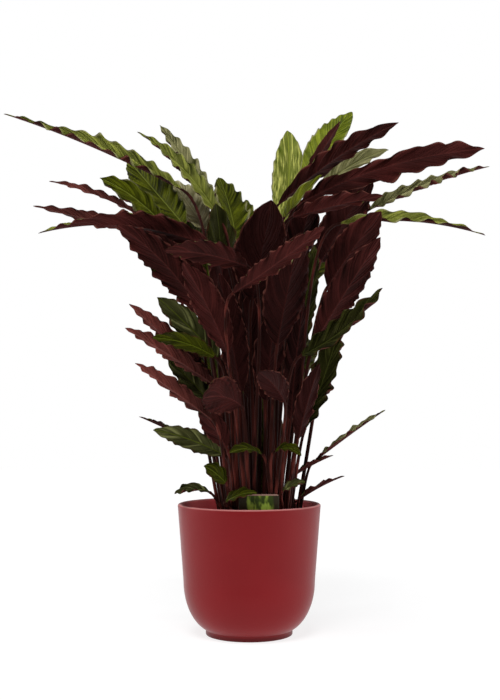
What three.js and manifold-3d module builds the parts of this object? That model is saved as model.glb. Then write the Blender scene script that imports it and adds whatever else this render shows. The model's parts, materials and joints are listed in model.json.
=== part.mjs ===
// Potted velvet calathea: a clump of waved, lance-shaped leaves in a red ceramic pot.
// Millimetres, +Z up, -Y towards the front. The origin is the middle of the pot's flat underside.

import * as THREE from "three";
import { mergeVertices } from "three/addons/utils/BufferGeometryUtils.js";
import Module from "manifold-3d";

const wasm = await Module();
wasm.setup();

// Driving dimensions of the pots and the soil
const clearance = 0.3;
const potSides = 36;
const cornerSteps = 4;
const cornerStart = 18;
const rimSteps = 3;
const potHeight = 195;
const rimRadius = 107;
const wallThickness = 6;
const floorThickness = 9;
const cornerHeight = 80;
const cornerRadius = 98.5;
const cornerReach = 48.5;
const footRadius = 65;
const footHeight = 4;
const growerHeight = 160;
const growerRimRadius = 89;
const growerBaseRadius = 58;
const growerWall = 1.6;
const growerLip = 3;
const drainHoles = 6;
const drainRadius = 6;
const drainSides = 8;
const drainReach = 0.62;
const soilBelowRim = 12;

// Driving dimensions of the leaves
const petioleDepth = 28;
const collarHeight = 10;
const fanDepth = 230;
const fanAcross = 14;
const footSpacing = 9.5;
const spreadPasses = 60;
const slenderness = 0.03;
const leastPetiole = 2.4;
const neckShare = 0.6;
const branchShare = 0.9;
const rootLean = 0.2;
const rootPull = 0.5;
const bladePull = 0.12;
const longPetiole = 150;
const bladeThickness = 0.9;
const keelThickness = 1.3;
const waveSpacing = 30;
const waveHeight = 0.16;
const leastWave = 1;
const scallop = 0.07;
const waveJitter = 0.3;
const leastWaves = 3;
const leastSway = 0.75;
const swayRange = 0.5;

// Driving dimensions of the label
const labelWidth = 58;
const labelTop = 215;
const labelBottom = 172;
const labelThickness = 0.8;
const stakeWidth = 12;
const stakeDepth = 13;
const labelPlace = { x: 14, y: -76 };

// The leaf places are read in a front view from this distance and height
const viewDistance = 1700;
const viewHeight = 349;

// Each row holds the name, base [x, depth, z], tip [x, depth, z], arch of the rib, blade width, turn of the
// upper face in degrees (0 to the front, 90 up or towards the middle, 180 to the back), fold of each half
// blade in degrees, and the leaf whose sheath it grows from, if it has no root of its own
const leaves = [
  ["left_top_1", [-100, 30, 665], [-368, 60, 779], 7, 45, 54, 38],
  ["left_top_2", [-133, 36, 617], [-224, 28, 683], 6, 42, 35, 18],
  ["left_top_3", [-97, 60, 611], [-182, 240, 710], 0, 60, 25, 12],
  ["left_top_4", [-40, 50, 614], [-168, 145, 752], 13, 34, 40, 24],
  ["left_top_5", [-44, 75, 618], [-134, 215, 762], 4, 38, 45, 24],
  ["left_top_6", [-64, 100, 605], [-116, 270, 679], 0, 57, 20, 12],
  ["left_top_7", [-19, 56, 582], [-45, 230, 683], 4, 60, 30, 22],
  ["left_top_8", [-4, 94, 587], [-4, 205, 650], 0, 32, 10, 26],
  ["left_top_9", [-148, 70, 617], [-300, 120, 678], 8, 22, 110, 24],
  ["left_top_10", [-121, 12, 594], [-324, 35, 641], 0, 28, 125, 18],
  ["left_top_11", [-49, -35, 575], [-316, -90, 600], 23, 48, 120, 20],
  ["left_mid_1", [-71, -55, 476], [-199, -140, 613], 12, 50, 165, 16],
  ["left_mid_2", [-50, -32, 486], [-172, -62, 605], 4, 60, 150, 16],
  ["left_mid_3", [-2, -105, 550], [-127, -200, 574], 6, 40, 140, 16],
  ["left_mid_4", [-32, -72, 420], [-100, -115, 557], 4, 50, 160, 16],
  ["left_low_1", [-46, -12, 363], [-180, -19, 494], 3, 35, 135, 24],
  ["left_low_2", [-45, -20, 412], [-138, -28, 504], 2, 48, 30, 12],
  ["left_low_3", [-50, -72, 413], [-146, -70, 443], 7, 30, 30, 16],
  ["left_low_4", [-48, -30, 370], [-186, -26, 458], 2, 34, 135, 24],
  ["left_low_5", [-55, -92, 320], [-171, -85, 405], 1, 32, 135, 24],
  ["left_low_6", [-61, -7, 348], [-122, 14, 411], 2, 37, 30, 12],
  ["left_low_7", [-36, -45, 266], [-144, -25, 305], 5, 34, 25, 10],
  ["front_1", [-25, -113, 510], [114, -213, 611], -2, 34, 140, 16],
  ["front_2", [4, -27, 500], [33, -110, 650], 0, 78, 165, 12],
  ["front_3", [-12, -85, 341], [-70, -180, 352], 8, 58, 168, 16],
  ["front_4", [53, -105, 347], [14, -175, 392], 4, 38, 165, 16],
  ["front_5", [-34, -64, 278], [-76, -72, 338], 2, 36, 165, 16],
  ["front_6", [26, -30, 347], [41, -70, 492], 2, 50, 160, 12],
  ["front_7", [-12, -45, 362], [-44, -72, 540], 0, 46, 160, 12],
  ["front_8", [42, -85, 432], [78, -150, 602], 2, 64, 160, 12],
  ["right_top_1", [51, 85, 612], [57, 250, 754], -6, 56, 15, 16],
  ["right_top_2", [80, 105, 686], [154, 290, 782], 2, 52, 15, 16],
  ["right_top_3", [42, 15, 641], [224, 20, 766], 10, 38, 135, 16],
  ["right_top_4", [78, 50, 665], [137, 100, 768], 2, 20, 150, 16],
  ["right_top_5", [107, 75, 665], [209, 100, 725], 8, 40, 38, 20],
  ["right_top_6", [78, 0, 647], [353, -60, 727], 15, 48, 150, 16],
  ["right_top_7", [179, 10, 635], [360, 30, 700], 5, 38, 50, 36],
  ["right_top_8", [134, -80, 614], [354, -60, 597], 12, 32, 55, 32],
  ["right_top_9", [64, -45, 624], [202, -130, 656], 3, 34, 125, 22],
  ["right_top_10", [52, -15, 622], [110, -5, 688], 0, 38, 60, 24],
  ["right_mid_1", [107, 15, 557], [184, 30, 692], 0, 62, 165, 12],
  ["right_mid_2", [118, -45, 521], [198, -110, 633], 2, 55, 165, 14],
  ["right_mid_3", [101, -76, 442], [197, -150, 594], 1, 48, 160, 14],
  ["right_mid_4", [69, -6, 400], [101, 2, 578], 2, 40, 24, 16],
  ["right_low_1", [77, -100, 416], [200, -150, 518], -10, 38, 45, 28],
  ["right_low_2", [84, -25, 308], [139, -5, 467], -2, 44, 30, 22],
  ["right_low_3", [73, -70, 290], [106, -85, 405], 2, 34, 150, 16],
  ["right_low_4", [95, -5, 256], [204, 10, 335], 1, 19, 80, 32],
  ["back_1", [-58, 90, 520], [-114, 300, 650], 12, 60, 15, 16],
  ["back_2", [15, 100, 540], [30, 340, 630], 16, 52, 5, 16],
  ["back_3", [86, 90, 520], [163, 300, 602], 14, 50, 15, 16],
  ["back_4", [-25, 95, 420], [-70, 290, 490], 12, 46, 10, 16],
  ["back_5", [62, 90, 365], [103, 270, 440], 12, 52, 10, 16],
  ["back_6", [-46, 75, 325], [-68, 230, 435], 8, 46, 15, 16],
  ["back_7", [-15, 66, 200], [-17, 156, 388], 6, 64, 10, 16, "back_4"],
  ["back_8", [25, 45, 200], [34, 100, 385], 6, 60, 10, 16, "back_5"],
  ["front_9", [0, -2, 350], [0, -8, 515], 0, 44, 160, 12],
  ["front_10", [62, -30, 320], [82, -28, 500], 2, 35, 160, 14],
  ["rim_1", [-60, -60, 212], [-112, -64, 209], 5, 22, 60, 26, "left_low_5"],
  ["rim_2", [-36, -86, 196], [12, -84, 210], 5, 24, 60, 16, "front_3"],
  ["rim_3", [-35, -85, 225], [-68, -100, 251], 2, 30, 40, 16, "front_5"],
  ["rim_4", [68, -7, 196], [143, -10, 236], 3, 22, 97, 28, "right_low_4"],
  ["rim_5", [63, -9, 234], [126, -6, 267], 2, 20, 97, 28, "right_low_4"],
  ["rim_6", [50, -72, 213], [84, -90, 227], 2, 20, 60, 22, "right_low_3"],
  ["low_1", [38, -88, 272], [78, -102, 266], 8, 22, 60, 16, "front_4"],
  ["low_2", [20, -80, 268], [-30, -115, 270], 7, 22, 60, 16, "front_4"],
  ["low_3", [-62, -2, 277], [-165, 10, 325], 1, 22, 97, 26, "left_low_6"],
  ["fill_1", [-42, 36, 530], [-50, 52, 645], 2, 54, 30, 14, "left_top_4"],
  ["fill_2", [70, 25, 555], [98, 25, 662], 2, 54, 160, 14, "right_top_4"],
  ["fill_3", [-40, -3, 450], [-43, -6, 585], 2, 54, 160, 14, "left_low_1"],
  ["fill_4", [9, 24, 425], [5, 38, 585], 2, 62, 160, 14, "front_9"],
];

// How far some blades twist from their middle to their tip, and back from it to their base, in degrees
const twists = {
  left_top_4: 14,
  left_top_5: -16,
  left_top_10: -10,
  left_top_11: -26,
  left_low_1: 10,
  left_low_5: -12,
  front_1: 8,
  right_top_2: 10,
  right_top_3: 12,
  right_top_6: 10,
  right_top_7: 20,
  right_top_8: 16,
  right_low_1: 16,
  right_low_4: -12,
};

const red = { color: 0x8a2328, roughness: 0.6, metalness: 0 };
const black = { color: 0x1b1b1a, roughness: 0.5, metalness: 0 };
const earth = { color: 0x2b1d14, roughness: 1, metalness: 0 };
const cardGreen = { color: 0x4f7a2c, roughness: 0.5, metalness: 0 };
const leafGreen = { color: 0x3f4a1c, roughness: 0.6, metalness: 0 };
const burgundy = { color: 0x43221f, roughness: 0.8, metalness: 0 };

const plant = new THREE.Group();

function addPiece(name, geometry, finish) {
  const mesh = new THREE.Mesh(geometry, new THREE.MeshStandardMaterial(finish));
  mesh.name = name;
  plant.add(mesh);
}

// Solids, for cutting and joining
function solidOf(geometry) {
  const bare = geometry.clone();
  bare.deleteAttribute("normal");
  bare.deleteAttribute("uv");
  const merged = mergeVertices(bare);
  return new wasm.Manifold(new wasm.Mesh({
    numProp: 3,
    vertProperties: new Float32Array(merged.attributes.position.array),
    triVerts: new Uint32Array(merged.index.array),
  }));
}

function geometryOf(solid) {
  const { vertProperties, triVerts } = solid.getMesh();
  const geometry = new THREE.BufferGeometry();
  geometry.setAttribute("position", new THREE.BufferAttribute(vertProperties, 3));
  geometry.setIndex(new THREE.BufferAttribute(triVerts, 1));
  geometry.computeVertexNormals();
  return geometry;
}

// A closed profile of [radius, height] points, turned about the upright axis
function turned(profile) {
  const points = profile.map(([radius, height]) => new THREE.Vector2(radius, height));
  const geometry = new THREE.LatheGeometry(points, potSides);
  geometry.rotateX(Math.PI / 2);
  return geometry;
}

// Outer pot: straight tapering wall, elliptical corner and a small foot
function potProfile() {
  const outside = [[0, 0], [footRadius, 0], [footRadius, footHeight]];
  const inside = [];
  for (let step = 0; step <= cornerSteps; step += 1) {
    const angle = THREE.MathUtils.degToRad(THREE.MathUtils.lerp(cornerStart, 90, step / cornerSteps));
    const across = Math.sin(angle);
    const down = Math.cos(angle);
    outside.push([
      cornerRadius - cornerReach * (1 - across),
      cornerHeight - (cornerHeight - footHeight) * down,
    ]);
    inside.unshift([
      cornerRadius - wallThickness - (cornerReach - wallThickness) * (1 - across),
      cornerHeight - (cornerHeight - floorThickness) * down,
    ]);
  }
  const lip = wallThickness / 2;
  const rim = [];
  for (let step = 0; step <= rimSteps; step += 1) {
    const angle = Math.PI * step / rimSteps;
    rim.push([rimRadius - lip + lip * Math.cos(angle), potHeight - lip + lip * Math.sin(angle)]);
  }
  const floorEdge = [inside.at(-1)[0] - wallThickness / 2, floorThickness];
  return [...outside, ...rim, ...inside, floorEdge, [0, floorThickness]];
}

// Grower's pot: a thin tapering shell with drain holes, standing on the floor of the outer pot
const growerFloor = floorThickness + clearance;
const growerRim = growerFloor + growerHeight;
const soilTop = growerRim - soilBelowRim;
const soilFloor = growerFloor + growerWall + clearance;

const growerMouth = growerRimRadius - growerLip - growerWall;

// The radius of the root ball, which follows the inside of the grower's pot
function soilRadiusAt(height) {
  const share = (height - growerFloor - growerWall) / (growerHeight - growerWall);
  return THREE.MathUtils.lerp(growerBaseRadius - growerWall, growerMouth, share) - clearance;
}

function growerPot() {
  const shell = turned([
    [0, growerFloor],
    [growerBaseRadius, growerFloor],
    [growerRimRadius - growerLip, growerRim - growerLip * 2],
    [growerRimRadius, growerRim - growerLip * 2],
    [growerRimRadius, growerRim],
    [growerMouth, growerRim],
    [growerBaseRadius - growerWall, growerFloor + growerWall],
    [0, growerFloor + growerWall],
  ]);
  let solid = solidOf(shell);
  for (let hole = 0; hole < drainHoles; hole += 1) {
    const angle = 2 * Math.PI * hole / drainHoles;
    const drill = new THREE.CylinderGeometry(drainRadius, drainRadius, growerWall * 4, drainSides);
    drill.rotateX(Math.PI / 2);
    const reach = growerBaseRadius * drainReach;
    drill.translate(reach * Math.cos(angle), reach * Math.sin(angle), growerFloor + growerWall / 2);
    solid = solid.subtract(solidOf(drill));
  }
  return geometryOf(solid);
}

// Leaves
const frontward = new THREE.Vector3(0, -1, 0);
const skyward = new THREE.Vector3(0, 0, 1);

// A repeatable draw from 0 to 1, by the minimal standard generator
const drawFactor = 16807;
const drawModulus = 2147483647;
let drawn = 20417;
function draw() {
  drawn = (drawn * drawFactor) % drawModulus;
  return drawn / drawModulus;
}

// A place read in the front view, moved out in proportion to its depth
function placed([x, depth, z]) {
  const scale = (viewDistance + depth) / viewDistance;
  return new THREE.Vector3(x * scale, depth, viewHeight + (z - viewHeight) * scale);
}

// The petioles fan out from one point deep below the soil, and their feet are then moved apart
const fanPoint = new THREE.Vector3(fanAcross, 0, soilTop - fanDepth);

function spreadFeet(rows) {
  const feet = rows.map((row) => {
    const ray = placed(row[1]).sub(fanPoint);
    return fanPoint.clone().addScaledVector(ray, fanDepth / ray.z);
  });
  for (let pass = 0; pass < spreadPasses; pass += 1) {
    for (let first = 0; first < feet.length; first += 1) {
      for (let second = first + 1; second < feet.length; second += 1) {
        const apart = feet[second].clone().sub(feet[first]);
        const shortfall = footSpacing - apart.length();
        if (shortfall > 0) {
          apart.setLength(shortfall / 2);
          feet[second].add(apart);
          feet[first].sub(apart);
        }
      }
    }
  }
  return feet;
}

// The blade's width along its rib, as a share of the full width
function bladeShare(along) {
  return 2.82 * along ** 0.7 * (1 - along) ** 0.8;
}

// The line of a leaf: its rib, its petiole and the direction of its upper face
function leafLine([name, baseAt, tipAt, arch, width, turn, fold], foot, parent) {
  const base = placed(baseAt);
  const tip = placed(tipAt);
  const ahead = tip.clone().sub(base);
  const length = ahead.length();
  ahead.normalize();
  const facing = frontward.clone().addScaledVector(ahead, -frontward.dot(ahead)).normalize();
  const upward = new THREE.Vector3().crossVectors(ahead, facing);
  const hand = upward.z < 0 ? -1 : 1;
  upward.multiplyScalar(hand);
  const angle = THREE.MathUtils.degToRad(turn);
  const upper = facing.multiplyScalar(Math.cos(angle)).addScaledVector(upward, Math.sin(angle));
  const middle = base.clone().add(tip).multiplyScalar(0.5).addScaledVector(upward, arch * 2);
  const rib = new THREE.QuadraticBezierCurve3(base, middle, tip);
  const radius = leastPetiole + slenderness * width / 2;
  const ray = base.clone().sub(foot).normalize().lerp(skyward, rootLean).normalize();
  const ownCollar = foot.clone().addScaledVector(ray, collarHeight / ray.z);
  const collar = parent ? parent.collar : ownCollar;
  const rise = base.distanceTo(collar);
  const petiole = new THREE.CubicBezierCurve3(
    collar,
    collar.clone().addScaledVector(ray, rise * rootPull),
    base.clone().addScaledVector(rib.getTangent(0), -rise * bladePull),
    base,
  );
  const root = parent ? null : foot.clone().addScaledVector(ray, -petioleDepth / ray.z);
  const folded = THREE.MathUtils.degToRad(fold);
  const twist = THREE.MathUtils.degToRad(twists[name] ?? 0) * hand;
  return { rib, petiole, root, collar, ray, upper, length, width, radius, folded, twist };
}

// Stations from the petiole's root to the blade's tip
function leafStations({ rib, petiole, root, collar, ray, upper, length, radius, twist }) {
  const stations = [];
  if (root) stations.push({ at: root, tangent: ray, radius });
  stations.push({ at: collar, tangent: ray, radius: root ? radius : radius * branchShare });
  const petioleSteps = petiole.getLength() > longPetiole ? 3 : 2;
  for (let step = 1; step < petioleSteps; step += 1) {
    const along = step / petioleSteps;
    const thinned = radius * THREE.MathUtils.lerp(1, neckShare, along);
    stations.push({ at: petiole.getPoint(along), tangent: petiole.getTangent(along), radius: thinned });
  }
  const first = stations.length;
  const neck = radius * neckShare;
  const waves = Math.max(leastWaves, Math.round(length / waveSpacing));
  const steps = waves * 2;
  const stagger = draw() < 0.5 ? 1 : -1;
  for (let step = 0; step <= steps; step += 1) {
    const shift = step > 0 && step < steps ? (draw() - 0.5) * waveJitter : 0;
    const along = (step + shift) / steps;
    const sway = (step % 2 === 0 ? 1 : -1) * (leastSway + swayRange * draw());
    stations.push({
      at: rib.getPoint(along),
      tangent: rib.getTangent(along),
      radius: THREE.MathUtils.lerp(neck, bladeThickness / 2, along),
      share: bladeShare(along),
      left: sway,
      right: sway * stagger,
    });
  }

  // The upper direction is carried along the line from the blade's middle, and then twisted
  const start = first + waves;
  let carried = upper;
  const carry = (index) => {
    const { tangent } = stations[index];
    carried = carried.clone().addScaledVector(tangent, -carried.dot(tangent)).normalize();
    stations[index].upper = carried;
  };
  for (let index = start; index < stations.length; index += 1) {
    carry(index);
  }
  carried = stations[start].upper;
  for (let index = start - 1; index >= 0; index -= 1) {
    carry(index);
  }
  stations.forEach((station, index) => {
    const away = THREE.MathUtils.clamp((index - start) / waves, -1, 1);
    station.upper = station.upper.clone().applyAxisAngle(station.tangent, twist * away);
  });
  return stations;
}

// Six points a ring: left edge, rib and right edge above, then right edge, rib and left edge below
function leafRing({ at, tangent, radius, share = 0, left = 0, right = 0, upper }, { width, folded }) {
  const side = new THREE.Vector3().crossVectors(tangent, upper).normalize();
  const edge = Math.max(radius * Math.cos(Math.PI / 6), share * width / 2);
  const bladed = THREE.MathUtils.clamp(edge / radius - 1, 0, 1);
  const half = THREE.MathUtils.lerp(radius / 2, bladeThickness / 2, bladed);
  const crest = THREE.MathUtils.lerp(radius, bladeThickness / 2, bladed);
  const keel = THREE.MathUtils.lerp(radius, Math.min(radius, keelThickness), bladed);
  const swing = bladed * (leastWave + waveHeight * edge);
  const cos = Math.cos(folded * bladed);
  const sin = Math.sin(folded * bladed);
  const edgePoint = (hand, sway, up) => {
    const out = edge * (1 + scallop * bladed * sway);
    const rise = swing * sway + up;
    return at.clone()
      .addScaledVector(side, hand * (out * cos - rise * sin))
      .addScaledVector(upper, out * sin + rise * cos);
  };
  return [
    edgePoint(-1, left, half),
    at.clone().addScaledVector(upper, crest),
    edgePoint(1, right, half),
    edgePoint(1, right, -half),
    at.clone().addScaledVector(upper, -keel),
    edgePoint(-1, left, -half),
  ];
}

// A closed skin over rings of six points, with a cap at each end
function skinOver(rings) {
  const positions = rings.flat().flatMap((point) => point.toArray());
  const index = [];
  const count = rings[0].length;
  for (let ring = 0; ring + 1 < rings.length; ring += 1) {
    for (let corner = 0; corner < count; corner += 1) {
      const next = (corner + 1) % count;
      const a = ring * count + corner;
      const b = ring * count + next;
      // The upper and lower faces are split along the same line
      if (corner < 3) index.push(a, b, b + count, a, b + count, a + count);
      else index.push(a, b, a + count, b, b + count, a + count);
    }
  }
  const last = (rings.length - 1) * count;
  index.push(0, 5, 1, 1, 5, 4, 1, 4, 2, 2, 4, 3);
  index.push(last, last + 1, last + 5, last + 1, last + 4, last + 5, last + 1, last + 2, last + 4);
  index.push(last + 2, last + 3, last + 4);
  const geometry = new THREE.BufferGeometry();
  geometry.setAttribute("position", new THREE.Float32BufferAttribute(positions, 3));
  geometry.setIndex(index);
  geometry.computeVertexNormals();
  return geometry;
}

const feet = spreadFeet(leaves.filter((row) => !row[7]));
const lines = {};
const solids = {};
const rootedStations = [];
for (const row of leaves) {
  const parent = row[7];
  const line = leafLine(row, parent ? lines[parent].collar : feet[rootedStations.length], lines[parent]);
  const stations = leafStations(line);
  const solid = solidOf(skinOver(stations.map((station) => leafRing(station, line))));
  if (parent) {
    solids[parent] = solids[parent].add(solid);
  } else {
    lines[row[0]] = line;
    solids[row[0]] = solid;
    rootedStations.push(stations);
  }
}
for (const [name, solid] of Object.entries(solids)) {
  const row = leaves.find(([leaf]) => leaf === name);
  addPiece(`leaf_${name}`, geometryOf(solid), row[5] > 90 ? burgundy : leafGreen);
}

// Soil: the root ball, with a plain hole for each petiole and for the label's stake
function holeFor([root, collar]) {
  const radius = root.radius + clearance / Math.cos(Math.PI / 6);
  const bottom = { ...root, at: root.at.clone().addScaledVector(root.tangent, -clearance), radius };
  const plain = { width: 0, folded: 0 };
  return solidOf(skinOver([leafRing(bottom, plain), leafRing({ ...collar, radius }, plain)]));
}

function labelShape(grow) {
  const half = labelWidth / 2;
  const stake = stakeWidth / 2 + grow;
  const bottom = soilTop - stakeDepth - grow;
  const outline = [
    [-half, labelBottom],
    [-stake, labelBottom],
    [-stake, bottom + stake],
    [0, bottom],
    [stake, bottom + stake],
    [stake, labelBottom],
    [half, labelBottom],
    [half, labelTop],
    [-half, labelTop],
  ];
  const shape = new THREE.Shape(outline.map(([x, z]) => new THREE.Vector2(x, z)));
  const depth = labelThickness + grow * 2;
  const geometry = new THREE.ExtrudeGeometry(shape, { depth, bevelEnabled: false });
  geometry.rotateX(Math.PI / 2);
  geometry.translate(labelPlace.x, labelPlace.y + labelThickness / 2 + grow, 0);
  return geometry;
}

function soil() {
  let solid = solidOf(turned([
    [0, soilFloor],
    [soilRadiusAt(soilFloor), soilFloor],
    [soilRadiusAt(soilTop), soilTop],
    [0, soilTop],
  ]));
  for (const stations of rootedStations) {
    solid = solid.subtract(holeFor(stations));
  }
  return geometryOf(solid.subtract(solidOf(labelShape(clearance))));
}

addPiece("pot", turned(potProfile()), red);
addPiece("grower_pot", growerPot(), black);
addPiece("soil", soil(), earth);
addPiece("plant_label", labelShape(0), cardGreen);

export default plant;
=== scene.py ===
"""Potted velvet calathea: finely waved leaves on slim stalks in a brick-red ceramic pot.

Leaf and pot sizes are in millimetres, as in the solids; meshes are made in metres.
"""

from collections import namedtuple
import json
import math

import bpy
import numpy as np
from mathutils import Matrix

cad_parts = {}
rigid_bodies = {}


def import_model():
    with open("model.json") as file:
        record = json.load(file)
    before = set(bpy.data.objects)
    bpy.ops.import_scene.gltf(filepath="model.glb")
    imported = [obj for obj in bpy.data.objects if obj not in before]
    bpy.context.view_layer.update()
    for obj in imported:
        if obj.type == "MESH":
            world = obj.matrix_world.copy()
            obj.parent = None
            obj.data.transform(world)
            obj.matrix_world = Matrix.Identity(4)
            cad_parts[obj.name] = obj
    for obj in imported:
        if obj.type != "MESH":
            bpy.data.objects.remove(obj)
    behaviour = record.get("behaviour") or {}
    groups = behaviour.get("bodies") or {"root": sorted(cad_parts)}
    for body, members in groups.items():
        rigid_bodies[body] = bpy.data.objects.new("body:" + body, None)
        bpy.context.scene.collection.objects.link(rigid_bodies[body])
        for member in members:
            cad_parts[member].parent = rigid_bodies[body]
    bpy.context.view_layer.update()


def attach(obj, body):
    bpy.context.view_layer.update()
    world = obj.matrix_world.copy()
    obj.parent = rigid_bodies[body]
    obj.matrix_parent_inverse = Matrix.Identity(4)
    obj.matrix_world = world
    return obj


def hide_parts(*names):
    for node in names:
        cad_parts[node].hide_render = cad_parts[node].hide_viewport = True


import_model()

MM = 0.001

# Outer pot
POT_SIDES = 160
POT_HEIGHT = 195
RIM_RADIUS = 107
WALL = 6
FLOOR = 9
CORNER_HEIGHT = 80
CORNER_RADIUS = 98.5
CORNER_REACH = 48.5
CORNER_TURN = 72
CORNER_STEPS = 40
INSIDE_STEPS = 24
SIDE_STEPS = 13
RIM_STEPS = 14
FOOT_RADIUS = 65
FOOT_HEIGHT = 4
FOOT_EDGE = 1

# Grower's pot and soil
GROWER_SIDES = 120
GROWER_FLOOR = 9.3
GROWER_RIM = 169.3
GROWER_RIM_RADIUS = 89
GROWER_BASE_RADIUS = 58
GROWER_WALL = 1.6
GROWER_LIP = 3
GROWER_EDGE = 0.4
GROWER_HEEL = 2
SOIL_SIDES = 120
SOIL_FLOOR = 11.2
SOIL_TOP = 157.3
SOIL_RADIUS = 82
SOIL_BASE_RADIUS = 55
SOIL_RINGS = 34
SOIL_EDGE = 0.8
SOIL_RISE = 2.5
SOIL_SINK = 1.5
LUMP_HEIGHT = 0.9
GRAIN_HEIGHT = 0.9
CRUMBS = 620
CRUMB_MARGIN = 4
LEAST_CRUMB = 1
CRUMB_RANGE = 2.4

# Label, with its middle LABEL_ACROSS right of the pot's axis and LABEL_FRONT before it
LABEL_ACROSS = 14
LABEL_FRONT = 76
LABEL_BOTTOM = 172
LABEL_TOP = 215
LABEL_HALF_WIDTH = 29
LABEL_CORNER = 4
LABEL_BOW = 1.6
LABEL_COLUMNS = 25
CARD_HALF_THICKNESS = 0.4
STAKE_TIP = 144.4
STAKE_POINT = 6
STAKE_HALF_WIDTH = 6
STAKE_TIP_HALF_WIDTH = 0.4

# Stalks
STALK_RINGS = 22
PETIOLE_DEPTH = 28
COLLAR_HEIGHT = 10
FAN_DEPTH = 230
FAN_ACROSS = 14
FOOT_SPACING = 9.5
SPREAD_PASSES = 60
SLENDERNESS = 0.03
LEAST_PETIOLE = 2.4
NECK_SHARE = 0.6
BRANCH_SHARE = 0.9
ROOT_LEAN = 0.2
ROOT_PULL = 0.5
BLADE_PULL = 0.12
JOINT_SWELL = 0.55
JOINT_SHARE = 1 / 14

# Blades. FLAT_SHARE is half the flat width of the solids' six-sided stalks, as a share of their radius
FLAT_SHARE = math.cos(math.pi / 6)
RINGS_PER_STEP = 5
BLADE_THICKNESS = 0.8
BLADE_FULLNESS = 2.82
BASE_SHAPE = 0.7
TIP_SHAPE = 0.8
BLADE_CROWN = 0.05
MIDRIB_WIDTH = 1.5
MIDRIB_GROOVE = 0.25
KEEL_DEPTH = 1.3
EDGE_POWER = 6
LEAST_BLADE = 0.3
WAVE_SPACING = 30
LEAST_WAVES = 3
LEAST_WAVE = 1
WAVE_HEIGHT = 0.16
WAVE_POWER = 1.35
LEAST_SWAY = 0.75
SWAY_RANGE = 0.5
SCALLOP = 0.07
WAVE_JITTER = 0.3
VEIN_LEAN = 1.1
VEIN_CURL = 0.8
HIGH_LIFT = 6

# Fine ripples of the margins
PITCH_RANGE = 0.16
RUN_IN = 1 / 7
RIPPLE_POWER = 2.5
RIPPLE_DRIFT = 0.16
DRIFT_TURNS = 1.9
LEAST_SWELL = 0.78
SWELL_RANGE = 0.3
SWELL_TURNS = 2.3
LOBE_REACH = 1.3
LOBE_SHAPE = 0.8
LOBE_LEVEL = 0.6
LONGEST_START = 7

# Where the photograph was taken from
VIEW_DISTANCE = 1700
VIEW_HEIGHT = 349

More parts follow.
